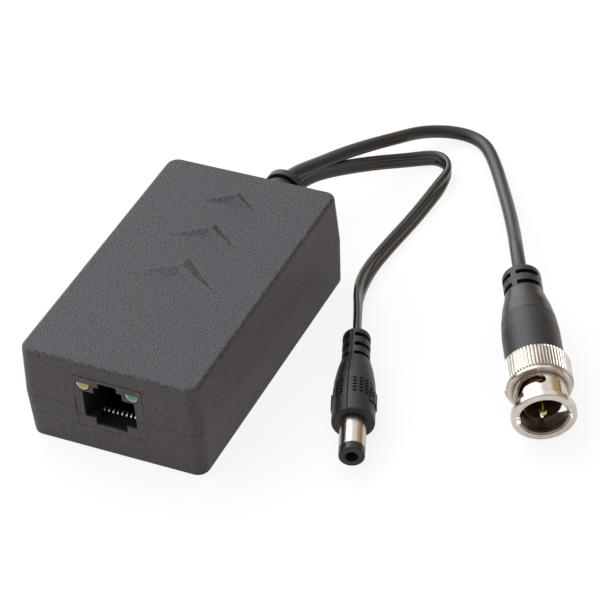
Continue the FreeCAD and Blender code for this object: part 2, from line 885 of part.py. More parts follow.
def make_jack_carrier():
    """The comb block at the back of the socket that the spring contacts come out of."""
    body = new_body("jack_carrier")
    side = S.comb_width / 2 - S.fit_gap
    drawing = rectangle(new_sketch(body, "XZ_Plane", -socket_back), -side, side, board_top, board_top + S.carrier_height - S.fit_gap)
    pad(body, drawing, S.carrier_depth - S.fit_gap, Reversed=True)
    half_slot = S.contact_radius + S.fit_gap / 2
    drawing = rectangle(
        new_sketch(body, "XY_Plane", board_top),
        S.contact_pitch * -3.5 - half_slot, S.contact_pitch * -3.5 + half_slot,
        socket_back - 1, socket_back + half_slot * 2 + S.contact_back)
    slot = pocket(body, drawing, S.carrier_height, Reversed=True)
    in_row(body, slot, "X_Axis", 8, S.contact_pitch * 7)
    return finish(body, "jack_carrier")


def make_jack_contacts():
    """Eight gilt strips that rise from the board, run forward and spring back up."""
    rest = float(socket_low - S.contact_rest) + float(S.contact_radius) + float(S.notch_depth) / 4
    back = float(socket_back + S.contact_radius + S.fit_gap / 2 + S.contact_back)
    front = float(jack_front + S.contact_reach)
    nose = float(S.contact_nose)
    wires = []
    for number in range(8):
        x = float(S.contact_pitch) * (number - 3.5)
        points = [
            (x, back, float(board_top)),
            (x, back, rest),
            (x, front + nose, rest),
            (x, front, rest + nose * 0.5),
            (x, front + nose, rest + nose * 1.1),
            (x, front + float(S.contact_run), rest + float(S.contact_rise)),
        ]
        wires.append(bar(points, float(S.contact_radius)))
    return finish(shaped("jack_contacts", Part.makeCompound(wires)), "jack_contacts")


def make_lamp(side, name):
    """A lamp's lens: flat on top, round below, filling its window beside the latch."""
    x = S.lamp_spread * side
    y = jack_front + S.lamp_setback
    z = board_top + S.lamp_height
    rod = primitive("Cylinder", "lens", (x, y, z), ALONG_Y, Radius=S.lamp_radius, Height=S.lamp_depth)
    brow = primitive("Box", "brow", (x - S.lamp_radius, y, z), Length=S.lamp_radius * 2, Width=S.lamp_depth, Height=S.lamp_flat)
    above = primitive(
        "Box", "above", (x - S.lamp_radius, y, z + S.lamp_flat),
        Length=S.lamp_radius * 2, Width=S.lamp_depth, Height=S.lamp_radius)
    return finish(cut(name, join("lens_blank", [rod, brow]), above), name)


def make_strain_relief():
    """A moulded sleeve gripped by the rear wall, with a collar at its end."""
    body = new_body("strain_relief")
    inner_face = cavity_half_length - S.flange_thickness - S.fit_gap
    wall_start = cavity_half_length - S.fit_gap
    wall_end = case_half_length + S.fit_gap
    sleeve_end = wall_end + S.sleeve_length
    corners = [
        (0, inner_face), (S.flange_radius, inner_face), (S.flange_radius, wall_start),
        (S.neck_radius, wall_start), (S.neck_radius, wall_end), (S.sleeve_radius, wall_end),
        (S.sleeve_end_radius, sleeve_end - S.relief_groove), (S.relief_groove_radius, sleeve_end - S.relief_groove),
        (S.relief_groove_radius, sleeve_end), (S.collar_radius, sleeve_end),
        (S.collar_radius, sleeve_end + S.collar_length), (0, sleeve_end + S.collar_length),
    ]
    turned(body, outline(new_sketch(body, "XZ_Plane"), corners))
    far = float(sleeve_end)
    dress(body, "Fillet", lambda edge: edge.BoundBox.ZMin > far - 0.01 and abs(edge.BoundBox.XMax - float(S.collar_radius)) < 0.01 and edge.BoundBox.ZLength < 0.01, Radius=S.collar_round)
    place = FreeCAD.Vector(float(S.relief_side), 0, float(S.parting_height))
    body.Placement = FreeCAD.Placement(place, ALONG_Y)
    return finish(body, "strain_relief")


# The two plugs, each modelled about Z with its open end at z = 0, then laid where it lies


def plug_placement(x, y, z, heading, tilt):
    """Puts a plug's open end at a point, facing a heading and dipping by a tilt."""
    flat = math.radians(float(heading))
    dip = math.radians(float(tilt))
    nose = FreeCAD.Vector(math.cos(flat) * math.cos(dip), math.sin(flat) * math.cos(dip), -math.sin(dip))
    back = nose * -1
    side = FreeCAD.Vector(0, 0, 1).cross(back)
    upward = back.cross(side)
    rotation = FreeCAD.Rotation(side, upward, back, "ZYX")
    return FreeCAD.Placement(FreeCAD.Vector(float(x), float(y), float(z)), rotation)


bnc_place = plug_placement(S.bnc_x, S.bnc_y, S.bnc_z, S.bnc_heading, S.bnc_tilt)
dc_place = plug_placement(S.dc_x, S.dc_y, S.dc_z, S.dc_heading, S.dc_tilt)


def along_plug(place, back):
    """A point on a plug's axis, a distance back from its open end."""
    return tuple(place.multVec(FreeCAD.Vector(0, 0, back)))


def turned_body(name, corners, place):
    """A body turned from an outline of radius and distance back from the open end."""
    body = new_body(name)
    turned(body, outline(new_sketch(body, "XZ_Plane"), corners))
    body.Placement = place
    return body


def slots_around(body, stations, width, depth, radius, per_turn, spine_turn, first_turn):
    """Rows of slots cut into a boot's tail, each row broken by solid spines."""
    for station in stations:
        drawing = rectangle(
            new_sketch(body, "XZ_Plane"), radius - depth, radius + 1, station - width / 2, station + width / 2)
        groove = turned(body, drawing, "Groove", Angle=size(360 / per_turn) - spine_turn)
        drawing.AttachmentOffset.Rotation = FreeCAD.Rotation(FreeCAD.Vector(0, 1, 0), first_turn)
        around(body, groove, size(per_turn))


def flank_block(turn, low, high, width, front, length):
    """A block between two radii of a plug, facing a turn about the plug's axis."""
    block = Part.makeBox(high - low, width, length, FreeCAD.Vector(low, -width / 2, front))
    block.rotate(FreeCAD.Vector(), FreeCAD.Vector(0, 0, 1), turn)
    return block


def make_nut():
    """The knurled bayonet nut, with two slots that turn back to a round detent."""
    shoulder_gap = S.nut_seat
    clip_front = clip_start - S.fit_gap / 2
    clip_back = clip_end + S.fit_gap / 2
    groove_radius = S.clip_outer_radius + S.fit_gap / 2
    body = new_body("nut_blank")
    corners = [
        (S.nut_bore_radius, S.mouth_length), (S.mouth_radius, 0), (S.ring_radius, 0),
        (S.ring_radius, S.ring_length), (S.nut_neck_radius, S.ring_length + 0.3),
        (S.nut_neck_radius, knurl_start), (S.band_radius, knurl_start),
        (S.band_radius, teeth_start), (S.knurl_radius, teeth_start), (S.knurl_radius, nut_length),
        (S.nut_rear_bore_radius, nut_length), (S.nut_rear_bore_radius, clip_back),
        (groove_radius, clip_back), (groove_radius, clip_front), (S.nut_rear_bore_radius, clip_front),
        (S.nut_rear_bore_radius, shoulder_gap), (S.nut_bore_radius, shoulder_gap),
    ]
    turned(body, outline(new_sketch(body, "XZ_Plane"), corners))
    rims = [(S.ring_radius, size(0)), (S.band_radius, knurl_start), (S.knurl_radius, teeth_start), (S.knurl_radius, nut_length)]

    def on_rim(edge):
        box = edge.BoundBox
        return any(abs(box.XMax - float(radius)) < 0.01 and at_height(station)(edge) for radius, station in rims)

    dress(body, "Chamfer", on_rim, Size=S.nut_edge * 0.6)
    tooth = 180 / S.knurl_teeth.value
    drawing = new_sketch(body, "XY_Plane", teeth_start)
    foot = S.knurl_radius - S.knurl_depth
    spread = math.tan(math.radians(tooth))
    outline(drawing, [(foot, 0), (S.knurl_radius + 0.1, S.knurl_radius * spread), (S.knurl_radius + 0.1, -S.knurl_radius * spread)])
    teeth = pocket(body, drawing, nut_length - teeth_start, Reversed=True)
    around(body, teeth, S.knurl_teeth)
    doc.recompute()
    cutters = [shaped("slot_cutter", slot_cutter(start)) for start in (0, 180)]
    nut = cut("nut", body, join("slot_cutters", cutters))
    nut.Placement = bnc_place
    return finish(nut, "bnc_coupling_nut")


def helix_bar(turn_start, turn_end, front, back):
    """A bar, a little slimmer than the slot's round ends, that climbs the nut's wall."""
    width = float(S.slot_width) - 0.08
    inner = float(S.nut_bore_radius) - 0.5
    outer = float(S.nut_neck_radius) + 0.6
    rise = back - front
    turns = (turn_end - turn_start) / 360
    helix = Part.makeHelix(rise / turns, rise, (inner + outer) / 2)
    lean = math.atan2(rise, turns * 2 * math.pi * (inner + outer) / 2)
    across = FreeCAD.Vector(0, -math.sin(lean), math.cos(lean)) * (width / 2)
    near = FreeCAD.Vector(inner, 0, 0)
    far = FreeCAD.Vector(outer, 0, 0)
    frame = Part.makePolygon([near - across, far - across, far + across, near + across, near - across])
    bar = Part.Wire(helix.Edges).makePipeShell([frame], True, True)
    bar.rotate(FreeCAD.Vector(), FreeCAD.Vector(0, 0, 1), turn_start)
    bar.translate(FreeCAD.Vector(0, 0, front))
    return bar


def radial_rod(turn, station, radius):
    """A round rod that stands out from the axis through the nut's wall."""
    inner = float(S.nut_bore_radius) - 0.8
    outer = float(S.nut_neck_radius) + 0.5
    way = FreeCAD.Vector(math.cos(math.radians(turn)), math.sin(math.radians(turn)), 0)
    return Part.makeCylinder(radius, outer - inner, way * inner + FreeCAD.Vector(0, 0, station), way)


def slot_cutter(start):
    """One bayonet slot: a keyway inside the ring, a steep and a shallow climb, and the detent."""
    turns = [start + float(turn) for turn in (S.slot_turn_start, S.slot_turn_knee, S.slot_turn_end)]
    stations = [float(S.ring_length + S.slot_width / 2 + S.slot_start), float(S.slot_knee), float(S.slot_end)]
    half = float(S.slot_width) / 2
    keyway = Part.makeBox(
        float(S.keyway_depth) + 2, 2 * half - 0.1, stations[0] + 1,
        FreeCAD.Vector(float(S.nut_bore_radius) - 2, 0.05 - half, -1))
    keyway.rotate(FreeCAD.Vector(), FreeCAD.Vector(0, 0, 1), turns[0])
    pieces = [
        helix_bar(turns[0], turns[1], stations[0], stations[1]),
        helix_bar(turns[1], turns[2], stations[1], stations[2]),
        radial_rod(turns[0], stations[0], half),
        radial_rod(turns[1], stations[1], half),
        radial_rod(turns[2], stations[2] - 0.4, float(S.detent_radius)),
        keyway,
    ]
    return pieces[0].multiFuse(pieces[1:])


def make_bnc_body():
    """The plug's shell: slotted contact sleeve, shoulder, barrel and the stub inside the boot."""
    front = S.sleeve_front
    shoulder = shoulder_start
    corners = [
        (S.contact_sleeve_bore, front), (S.contact_sleeve_bore + 0.1, front),
        (S.contact_sleeve_radius, front + 0.35), (S.contact_sleeve_radius, shoulder),
        (S.shoulder_radius, shoulder), (S.shoulder_radius, shoulder + S.shoulder_length),
        (S.barrel_radius, shoulder + S.shoulder_length), (S.barrel_radius, barrel_end),
        (S.stub_radius, barrel_end), (S.stub_radius, stub_end), (S.insulator_radius, stub_end),
        (S.insulator_radius, shoulder), (S.contact_sleeve_bore, shoulder - 0.6),
    ]
    body = turned_body("bnc_body", corners, bnc_place)
    drawing = new_sketch(body, "XY_Plane", front - 1)
    rectangle(drawing, S.contact_sleeve_bore - 1, S.contact_sleeve_radius + 1, -S.contact_slit / 2, S.contact_slit / 2)
    slit = pocket(body, drawing, S.contact_slit_length + 1, Reversed=True)
    around(body, slit, size(4))
    return finish(body, "bnc_body")


def make_bnc_inner_pieces():
    """Insulator, centre pin, gasket and crimp sleeve, which stay with the plug's shell."""
    reach = S.insulator_radius - S.fit_gap / 4
    corners = [
        (S.pin_radius, S.insulator_front), (reach, S.insulator_front), (reach, stub_end - S.fit_gap),
        (S.pin_radius, stub_end - S.fit_gap)]
    finish(turned_body("bnc_insulator", corners, bnc_place), "bnc_insulator")
    corners = [
        (0, S.pin_front), (S.pin_radius * 0.4, S.pin_front), (S.pin_radius * 0.8, S.pin_front + S.pin_tip / 4),
        (S.pin_radius, S.pin_front + S.pin_tip),
        (S.pin_radius, stub_end - S.fit_gap), (0, stub_end - S.fit_gap)]
    finish(turned_body("bnc_centre_pin", corners, bnc_place), "bnc_centre_pin")
    inner = S.contact_sleeve_radius + S.fit_gap / 2
    corners = [
        (inner, shoulder_start - S.gasket_length), (S.gasket_radius, shoulder_start - S.gasket_length),
        (S.gasket_radius, shoulder_start), (inner, shoulder_start)]
    finish(turned_body("bnc_gasket", corners, bnc_place), "bnc_gasket")
    corners = [
        (0, stub_end), (S.ferrule_radius, stub_end), (S.ferrule_radius, stub_end + S.ferrule_length),
        (0, stub_end + S.ferrule_length)]
    finish(turned_body("bnc_crimp_sleeve", corners, bnc_place), "bnc_crimp_sleeve")


def make_wave_washer():
    """The springy washer behind the shoulder: a thin ring pressed into three waves."""
    swing = (float(S.spring_height) - float(S.spring_thickness)) / 2
    middle = float(spring_start) + swing
    loops = []
    for radius in (float(S.washer_inner_radius), float(S.washer_outer_radius) - 0.1):
        points = []
        for step in range(24):
            turn = math.radians(15 * step)
            lift = middle + swing * math.cos(3 * turn)
            points.append(FreeCAD.Vector(radius * math.cos(turn), radius * math.sin(turn), lift))
        curve = Part.BSplineCurve()
        curve.interpolate(points, PeriodicFlag=True)
        loops.append(Part.Wire([curve.toShape()]))
    ring = Part.makeRuledSurface(loops[0], loops[1])
    solid = ring.Faces[0].extrude(FreeCAD.Vector(0, 0, float(S.spring_thickness)))
    washer = shaped("bnc_wave_washer", solid)
    washer.Placement = bnc_place
    return finish(washer, "bnc_wave_washer")


def make_thrust_washer():
    start = washer_start
    corners = [
        (S.washer_inner_radius, start), (S.washer_outer_radius, start),
        (S.washer_outer_radius, start + S.washer_thickness), (S.washer_inner_radius, start + S.washer_thickness)]
    return finish(turned_body("bnc_thrust_washer", corners, bnc_place), "bnc_thrust_washer")


def make_retaining_ring():
    """The open spring ring, seated in the nut's inner groove, that keeps the nut on the plug."""
    body = new_body("bnc_retaining_ring")
    start = clip_start
    drawing = rectangle(new_sketch(body, "XZ_Plane"), S.clip_inner_radius, S.clip_outer_radius, start, start + S.clip_thickness)
    turned(body, drawing, Angle=360 - S.clip_opening)
    body.Placement = bnc_place
    return finish(body, "bnc_retaining_ring")


def boot_corners(front, radius, shoulder, waist, tail, end, bores):
    """The outline of a moulded boot: a straight grip, a curved shoulder and a slim tail."""
    span = waist - shoulder
    drop = radius - tail
    outer = [(radius, front), (radius, shoulder)]
    outer += [(radius - drop * share, shoulder + span * way) for way, share in ((0.33, 0.16), (0.62, 0.45), (0.84, 0.79))]
    outer += [(tail, waist), (tail, end)]
    inner = [(0, end), (0, bores[-1][1])]
    for index in range(len(bores) - 1, -1, -1):
        reach, bottom = bores[index]
        top = bores[index - 1][1] if index else front
        inner += [(reach, bottom), (reach, top)]
    return outer + inner


def make_boot(name, place, front, radius, shoulder, waist, tail, end, tail_round, front_round, bores):
    body = turned_body(name, boot_corners(front, radius, shoulder, waist, tail, end, bores), place)

    def rim(station, reach):
        return lambda edge: at_height(station)(edge) and abs(edge.BoundBox.XMax - float(reach)) < 0.01

    dress(body, "Fillet", rim(end, tail), Radius=tail_round)
    dress(body, "Fillet", rim(front, radius), Radius=front_round)
    return body


def make_bnc_boot():
    gap = S.fit_gap / 2
    bores = [
        (S.barrel_radius + gap, barrel_end + gap), (S.stub_radius + gap, stub_end + gap),
        (S.ferrule_radius + gap, stub_end + S.ferrule_length + gap)]
    body = make_boot(
        "bnc_boot", bnc_place, bnc_boot_front, S.bnc_boot_radius, bnc_boot_shoulder, bnc_boot_waist,
        S.bnc_tail_radius, bnc_boot_end, S.bnc_tail_round, S.nut_edge, bores)
    first = bnc_boot_end - S.bnc_slot_first
    slots_around(
        body, [first, first - S.bnc_slot_pitch], S.bnc_slot_width, S.bnc_slot_depth, S.bnc_tail_radius,
        4, S.bnc_spine_turn, 70)
    return finish(body, "bnc_boot")


def make_dc_boot():
    gap = S.fit_gap / 2
    bores = [(S.dc_root_radius + gap, dc_metal_end + gap)]
    body = make_boot(
        "dc_boot_blank", dc_place, S.dc_barrel_reach, S.dc_boot_radius, dc_boot_shoulder, dc_boot_waist,
        S.dc_tail_radius, dc_boot_end, S.dc_tail_round, S.dc_boot_round, bores)
    first = dc_boot_end - S.dc_slot_first
    stations = [first - S.dc_slot_pitch * row for row in range(3)]
    seam = float(S.dc_seam_turn)
    slots_around(
        body, stations, S.dc_slot_width, S.dc_slot_depth, S.dc_tail_radius, 2, S.dc_spine_turn,
        seam + float(S.dc_spine_turn) / 2)
    body.Placement = FreeCAD.Placement()
    low = float(S.dc_boot_radius - S.dimple_depth)
    front = float(S.dc_barrel_reach + S.dimple_start)
    marks = []
    for row in range(5):
        for column in range(4):
            away = float(S.dimple_offset + S.dimple_step * column)
            for turn in (seam + away, seam - away, seam + 180 + away, seam + 180 - away):
                station = front + float(S.dimple_pitch) * row
                marks.append(flank_block(turn, low, low + 1, float(S.dimple_width), station, float(S.dimple_length)))
    ribs = []
    for column in (-1.5, -0.5, 0.5, 1.5):
        for side in (90, -90):
            turn = seam + side + float(S.rib_step) * column
            ribs.append(flank_block(
                turn, low, float(S.dc_boot_radius + S.rib_rise), float(S.rib_width),
                float(S.dc_barrel_reach + S.rib_start), float(S.rib_length)))
    doc.recompute()
    ribbed = join("ribbed_boot", [body] + [shaped("rib", rib) for rib in ribs])
    boot = cut("dc_boot", ribbed, shaped("dimples", Part.makeCompound(marks)))
    boot.Placement = dc_place
    return finish(boot, "dc_boot")


def make_dc_metal():
    """Barrel, insulator with its nose, and the inner contact tube of the power plug."""
    inner = S.dc_barrel_radius - S.dc_barrel_wall
    root = S.dc_barrel_reach - S.dc_root_length
    root_bore = S.dc_root_radius - S.dc_barrel_wall
    step = root - S.dc_barrel_wall
    corners = [
        (inner, S.dc_nose_length), (S.dc_barrel_radius, S.dc_nose_length), (S.dc_barrel_radius, root),
        (S.dc_root_radius, root), (S.dc_root_radius, dc_metal_end), (root_bore, dc_metal_end),
        (root_bore, step), (inner, step)]
    finish(turned_body("dc_barrel", corners, dc_place), "dc_barrel")
    core = S.dc_bore_radius + S.dc_contact_wall
    corners = [
        (core, 0), (S.dc_nose_radius, 0), (S.dc_nose_radius, S.dc_nose_length), (inner, S.dc_nose_length),
        (inner, step), (root_bore, step), (root_bore, dc_metal_end), (core, dc_metal_end)]
    body = turned_body("dc_insulator", corners, dc_place)
    dress(body, "Fillet", lambda edge: at_height(0)(edge) and edge.BoundBox.XMax > float(core) + 0.1, Radius=S.dc_contact_wall)
    finish(body, "dc_insulator")
    corners = [
        (S.dc_bore_radius, S.dc_contact_setback), (core, S.dc_contact_setback),
        (core, dc_metal_end), (S.dc_bore_radius, dc_metal_end)]
    finish(turned_body("dc_inner_contact", corners, dc_place), "dc_inner_contact")


# Leads


def make_leads():
    relief_end = float(case_half_length + S.fit_gap + S.sleeve_length + S.collar_length)
    middle = float(S.parting_height)
    exits = {
        "coax": (float(S.coax_side), relief_end, middle + float(S.coax_lift)),
        "twin": (float(S.twin_side), relief_end, middle + float(S.twin_lift)),
    }
    ends = {
        "coax": [along_plug(bnc_place, float(bnc_boot_end) + 7), along_plug(bnc_place, float(bnc_boot_end))],
        "twin": [along_plug(dc_place, float(dc_boot_end) + 6), along_plug(dc_place, float(dc_boot_end))],
    }
    for key, name, route, diameter in (
        ("coax", "coax_cable", COAX_ROUTE, S.coax_diameter), ("twin", "power_lead", TWIN_ROUTE, S.twin_width)):
        cord(name, laid(route, exits[key], ends[key], float(diameter) / 2), float(diameter))


def make_lead_tails():
    """The stripped ends inside the housing, from the strain relief down to the board."""
    face = float(cavity_half_length - S.flange_thickness - S.fit_gap)
    middle = float(S.parting_height)
    top = float(board_top)
    reach = float(S.tail_reach)
    x = float(S.coax_side)
    z = middle + float(S.coax_lift)
    points = [
        (x, face, z), (x, face - reach / 3, z), (x - reach / 4, face - reach * 0.8, (z + top) / 2 + reach / 9),
        (x - reach / 4, face - reach, top + reach / 6), (x - reach / 4, face - reach, top)]
    finish(shaped("coax_tail", tube(points, float(S.tail_core_radius))[0]), "coax_tail")
    wires = []
    x = float(S.twin_side)
    z = middle + float(S.twin_lift)
    for side in (-1, 1):
        start = x + side * float(S.tail_wire_radius) * 1.1
        end = x + reach * 0.45 + side * float(S.tail_wire_radius) * 2.5
        points = [
            (start, face, z), (start, face - reach * 0.25, z), (end, face - reach * 0.7, z - reach / 15),
            (end, face - reach * 0.9, top + reach / 9), (end, face - reach * 0.9, top)]
        wires.append(tube(points, float(S.tail_wire_radius))[0])
    finish(shaped("power_wires", Part.makeCompound(wires)), "power_wires")


# Parts on the board, sealed in the housing


def make_transformer():
    place = (S.core_x, S.core_y, board_top + S.winding_thickness)
    ring = primitive("Cylinder", "ring", place, Radius=S.core_radius, Height=S.core_height)
    hole = primitive("Cylinder", "hole", place, Radius=S.core_hole_radius, Height=S.core_height)
    core = cut("core", ring, hole)
    finish(core, "balun_core")
    halves = []
    for turn in (0, 180):
        spin = FreeCAD.Rotation(FreeCAD.Vector(0, 0, 1), turn - float(S.winding_turn) / 2)
        low = (S.core_x, S.core_y, board_top)
        height = S.core_height + S.winding_thickness * 2
        outer = primitive("Cylinder", "wrap", low, spin, Radius=S.core_radius + S.winding_thickness, Height=height, Angle=S.winding_turn)
        inner = primitive("Cylinder", "eye", low, Radius=S.core_hole_radius - S.winding_thickness, Height=height)
        window = primitive("Cylinder", "window", place, Radius=S.core_radius, Height=S.core_height)
        filler = primitive("Cylinder", "filler", place, Radius=S.core_hole_radius, Height=S.core_height)
        halves.append(cut("half", cut("sleeve", outer, inner), cut("core_space", window, filler)))
    group = doc.addObject("Part::Compound", "windings")
    group.Links = halves
    return finish(group, "balun_windings")


def make_row(name, pieces):
    group = doc.addObject("Part::Compound", name + "_group")
    group.Links = pieces
    return finish(group, name)


def make_board_parts():
    arresters = []
    for number in range(2):
        place = (S.arrester_x - S.arrester_length / 2, board_back - S.arrester_inset + S.arrester_pitch * number, board_top + S.arrester_radius)
        arresters.append(primitive("Cylinder", "arrester", place, ALONG_X, Radius=S.arrester_radius, Height=S.arrester_length))
    make_row("surge_arresters", arresters)
    low = (S.choke_x, S.choke_y, board_top)
    high = (S.choke_x, S.choke_y, board_top + S.choke_height - S.choke_rim)
    rims = [primitive("Cylinder", "rim", place, Radius=S.choke_radius, Height=S.choke_rim) for place in (low, high)]
    waist = primitive("Cylinder", "waist", low, Radius=S.choke_waist_radius, Height=S.choke_height)
    finish(join("power_choke", rims + [waist]), "power_choke")
    finish(primitive("Cylinder", "can", (S.can_x, board_back - S.can_inset, board_top), Radius=S.can_radius, Height=S.can_height), "filter_capacitor")
    chips = [
        primitive("Box", "chip", (S.chip_x, jack_back + S.chip_back + S.chip_pitch * number, board_top), Length=S.chip_length, Width=S.chip_width, Height=S.chip_height)
        for number in range(6)]
    make_row("chip_resistors", chips)
    place = (S.fuse_x, jack_back + S.fuse_back + S.fuse_thickness / 2, board_top + S.fuse_radius)
    finish(primitive("Cylinder", "fuse", place, AGAINST_Y, Radius=S.fuse_radius, Height=S.fuse_thickness), "resettable_fuse")
    discs = []
    for number in range(2):
        place = (S.disc_x + S.disc_pitch * number, jack_back + S.disc_back, board_top + S.disc_radius)
        discs.append(primitive("Cylinder", "disc", place, ALONG_Y, Radius=S.disc_radius, Height=S.disc_thickness))
    make_row("signal_capacitors", discs)


def check_and_write():
    doc.recompute()
    failed = [thing.Label for thing in doc.Objects if {"Invalid", "Error"} & set(thing.State)]
    for thing in finished:
        if thing.Shape.isNull() or not thing.Shape.isValid():
            failed.append(thing.Label)
    if failed:
        raise RuntimeError("these did not compute: " + ", ".join(failed))
    os.makedirs("parts", exist_ok=True)
    for thing in finished:
        thing.Shape.exportStep(os.path.join("parts", thing.Label + ".step"))
        print("%-22s solids %d volume %.1f" % (thing.Label, len(thing.Shape.Solids), thing.Shape.Volume))


make_top_cover()
make_bottom_case()
make_case_screws()
make_board()
make_jack_housing()
make_jack_carrier()
make_jack_contacts()
make_lamp(-1, "led_yellow")
make_lamp(1, "led_green")
make_transformer()
make_board_parts()
make_strain_relief()
make_lead_tails()
make_leads()
make_nut()
make_bnc_body()
make_bnc_inner_pieces()
make_wave_washer()
make_thrust_washer()
make_retaining_ring()
make_bnc_boot()
make_dc_boot()
make_dc_metal()
check_and_write()
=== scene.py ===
import bmesh
import bpy
import math
from mathutils import Matrix, Vector


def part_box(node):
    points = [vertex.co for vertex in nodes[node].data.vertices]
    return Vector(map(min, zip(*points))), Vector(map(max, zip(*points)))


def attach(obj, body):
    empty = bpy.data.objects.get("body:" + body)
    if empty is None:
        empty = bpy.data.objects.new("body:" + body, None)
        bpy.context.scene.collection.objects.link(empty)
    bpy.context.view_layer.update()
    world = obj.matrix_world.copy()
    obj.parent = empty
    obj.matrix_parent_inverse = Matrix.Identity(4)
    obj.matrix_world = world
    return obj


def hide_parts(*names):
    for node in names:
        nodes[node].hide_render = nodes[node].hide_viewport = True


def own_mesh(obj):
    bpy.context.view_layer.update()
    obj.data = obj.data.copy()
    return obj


# A video balun: a moulded housing with a network socket, and two leads at its back that end in a
# bayonet plug and a barrel plug. Places and sizes are in millimetres until MM makes them metres.

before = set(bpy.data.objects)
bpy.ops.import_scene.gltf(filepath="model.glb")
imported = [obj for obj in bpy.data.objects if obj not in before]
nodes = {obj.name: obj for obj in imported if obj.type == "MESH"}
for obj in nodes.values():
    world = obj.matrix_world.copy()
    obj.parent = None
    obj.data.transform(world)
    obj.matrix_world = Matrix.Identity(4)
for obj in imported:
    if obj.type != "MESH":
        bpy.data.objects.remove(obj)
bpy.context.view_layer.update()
scene = bpy.context.scene
MM = 0.001

# Housing, socket and lamps
PARTING = 11.2
CASE_TOP = 23.0
JACK_FACE = -34.85
LAMP_FLAT = 0.15
LAMP_WINDOW = 1.66
BROW_SETBACK = 0.02
BROW_GAP = 0.05
BROW_DEPTH = 1.2


def plug_axes(heading, tilt):
    """The way back from a plug's open end, the way to its left, and its upward side."""
    flat, dip = math.radians(heading), math.radians(tilt)
    back = -Vector((math.cos(flat) * math.cos(dip), math.sin(flat) * math.cos(dip), -math.sin(dip)))
    left = Vector((0, 0, 1)).cross(back).normalized()
    return back, left, back.cross(left)


# Bayonet plug: lengths back from its open end, and radii
BNC_FRONT = Vector((80.37, -0.59, 6.82))
BNC_AXES = plug_axes(-62.25, 6.0)
BNC_BACK = BNC_AXES[0]
NUT_LENGTH = 14.05
NUT_BORE = 4.9
MOUTH_EDGE = 5.10
RING_BACK = 1.45
NECK_RADIUS = 5.3
RIM_RADIUS = 6.2
KNURL_START = 7.5
TEETH_START = 8.4
KNURL_FOOT = 6.68
KNURL_CREST = 7.1
WASHER_FRONT = 9.95
BOOT_BAND = 30.4
BOOT_BAND_HALF = 3.9

# Barrel plug
DC_FRONT = Vector((47.38, -22.25, 4.13))
DC_BACK, DC_LEFT, DC_UP = plug_axes(-68.0, 3.0)
DC_SEAM_TURN = math.radians(76.4)

# Leads; the twin's web is a share of its thickness
COAX_RADIUS = 1.5
TWIN_WIDTH = 3.35
TWIN_THICKNESS = 1.7
TWIN_WEB = 0.62


# Node trees: values are worked out with Python's own signs


def add_node(tree, kind, settings, sockets):
    """One node: its settings come first, then the values or links of its sockets."""
    made = tree.nodes.new(kind)
    for name, value in settings.items():
        setattr(made, name, value)
    for key, value in sockets.items():
        socket = made.inputs[key]
        if isinstance(value, Signal):
            tree.links.new(value.socket, socket)
        elif socket.type == "RGBA":
            socket.default_value = (*value, 1)
        else:
            socket.default_value = value
    return made


class Signal:
    """A value that flows through a node tree."""

    def __init__(self, tree, socket):
        self.tree = tree
        self.socket = socket

    def worked(self, operation, *values):
        made = add_node(self.tree, "ShaderNodeMath", {"operation": operation}, dict(enumerate(values)))
        return Signal(self.tree, made.outputs[0])

    def __add__(self, other):
        return self.worked("ADD", self, other)

    def __radd__(self, other):
        return self.worked("ADD", other, self)

    def __sub__(self, other):
        return self.worked("SUBTRACT", self, other)

    def __rsub__(self, other):
        return self.worked("SUBTRACT", other, self)

    def __mul__(self, other):
        return self.worked("MULTIPLY", self, other)

    def __rmul__(self, other):
        return self.worked("MULTIPLY", other, self)

    def __pow__(self, other):
        return self.worked("POWER", self, other)

    def __abs__(self):
        return self.worked("ABSOLUTE", self)


class Tree:
    """Short calls for the nodes that the finishes and the sky share."""

    def __init__(self, tree):
        self.tree = tree

    def node(self, kind, settings, sockets, output=0):
        return Signal(self.tree, add_node(self.tree, kind, settings, sockets).outputs[output])

    def dot(self, vector, direction):
        """How far a vector reaches along a direction."""
        settings = {"operation": "DOT_PRODUCT"}
        return self.node("ShaderNodeVectorMath", settings, {0: vector, 1: direction}, "Value")

    def fade(self, value, low, high, first=0.0, last=1.0):
        """Goes from first to last as a value goes from low to high, and stays there."""
        sockets = {"Value": value, "From Min": low, "From Max": high, "To Min": first, "To Max": last}
        return self.node("ShaderNodeMapRange", {}, sockets)

    def ease(self, value, low, high):
        """Goes from 0 to 1 as a value goes from low to high, with soft ends."""
        sockets = {"Value": value, "From Min": low, "From Max": high}
        return self.node("ShaderNodeMapRange", {"interpolation_type": "SMOOTHSTEP"}, sockets)

    def near(self, distance, half, soft):
        """1 within half of a plane, falling to 0 over a soft edge."""
        return self.fade(abs(distance), half, half + soft, 1.0, 0.0)

    def blend(self, share, first, second):
        return self.node("ShaderNodeMix", {"data_type": "RGBA"}, {0: share, 6: first, 7: second}, 2)

    def greater(self, first, second):
        return self.node("ShaderNodeMath", {"operation": "MAXIMUM"}, {0: first, 1: second})

    def ray(self, kind):
        """1 for rays of one kind, such as those that come from the camera."""
        return self.node("ShaderNodeLightPath", {}, {}, kind)


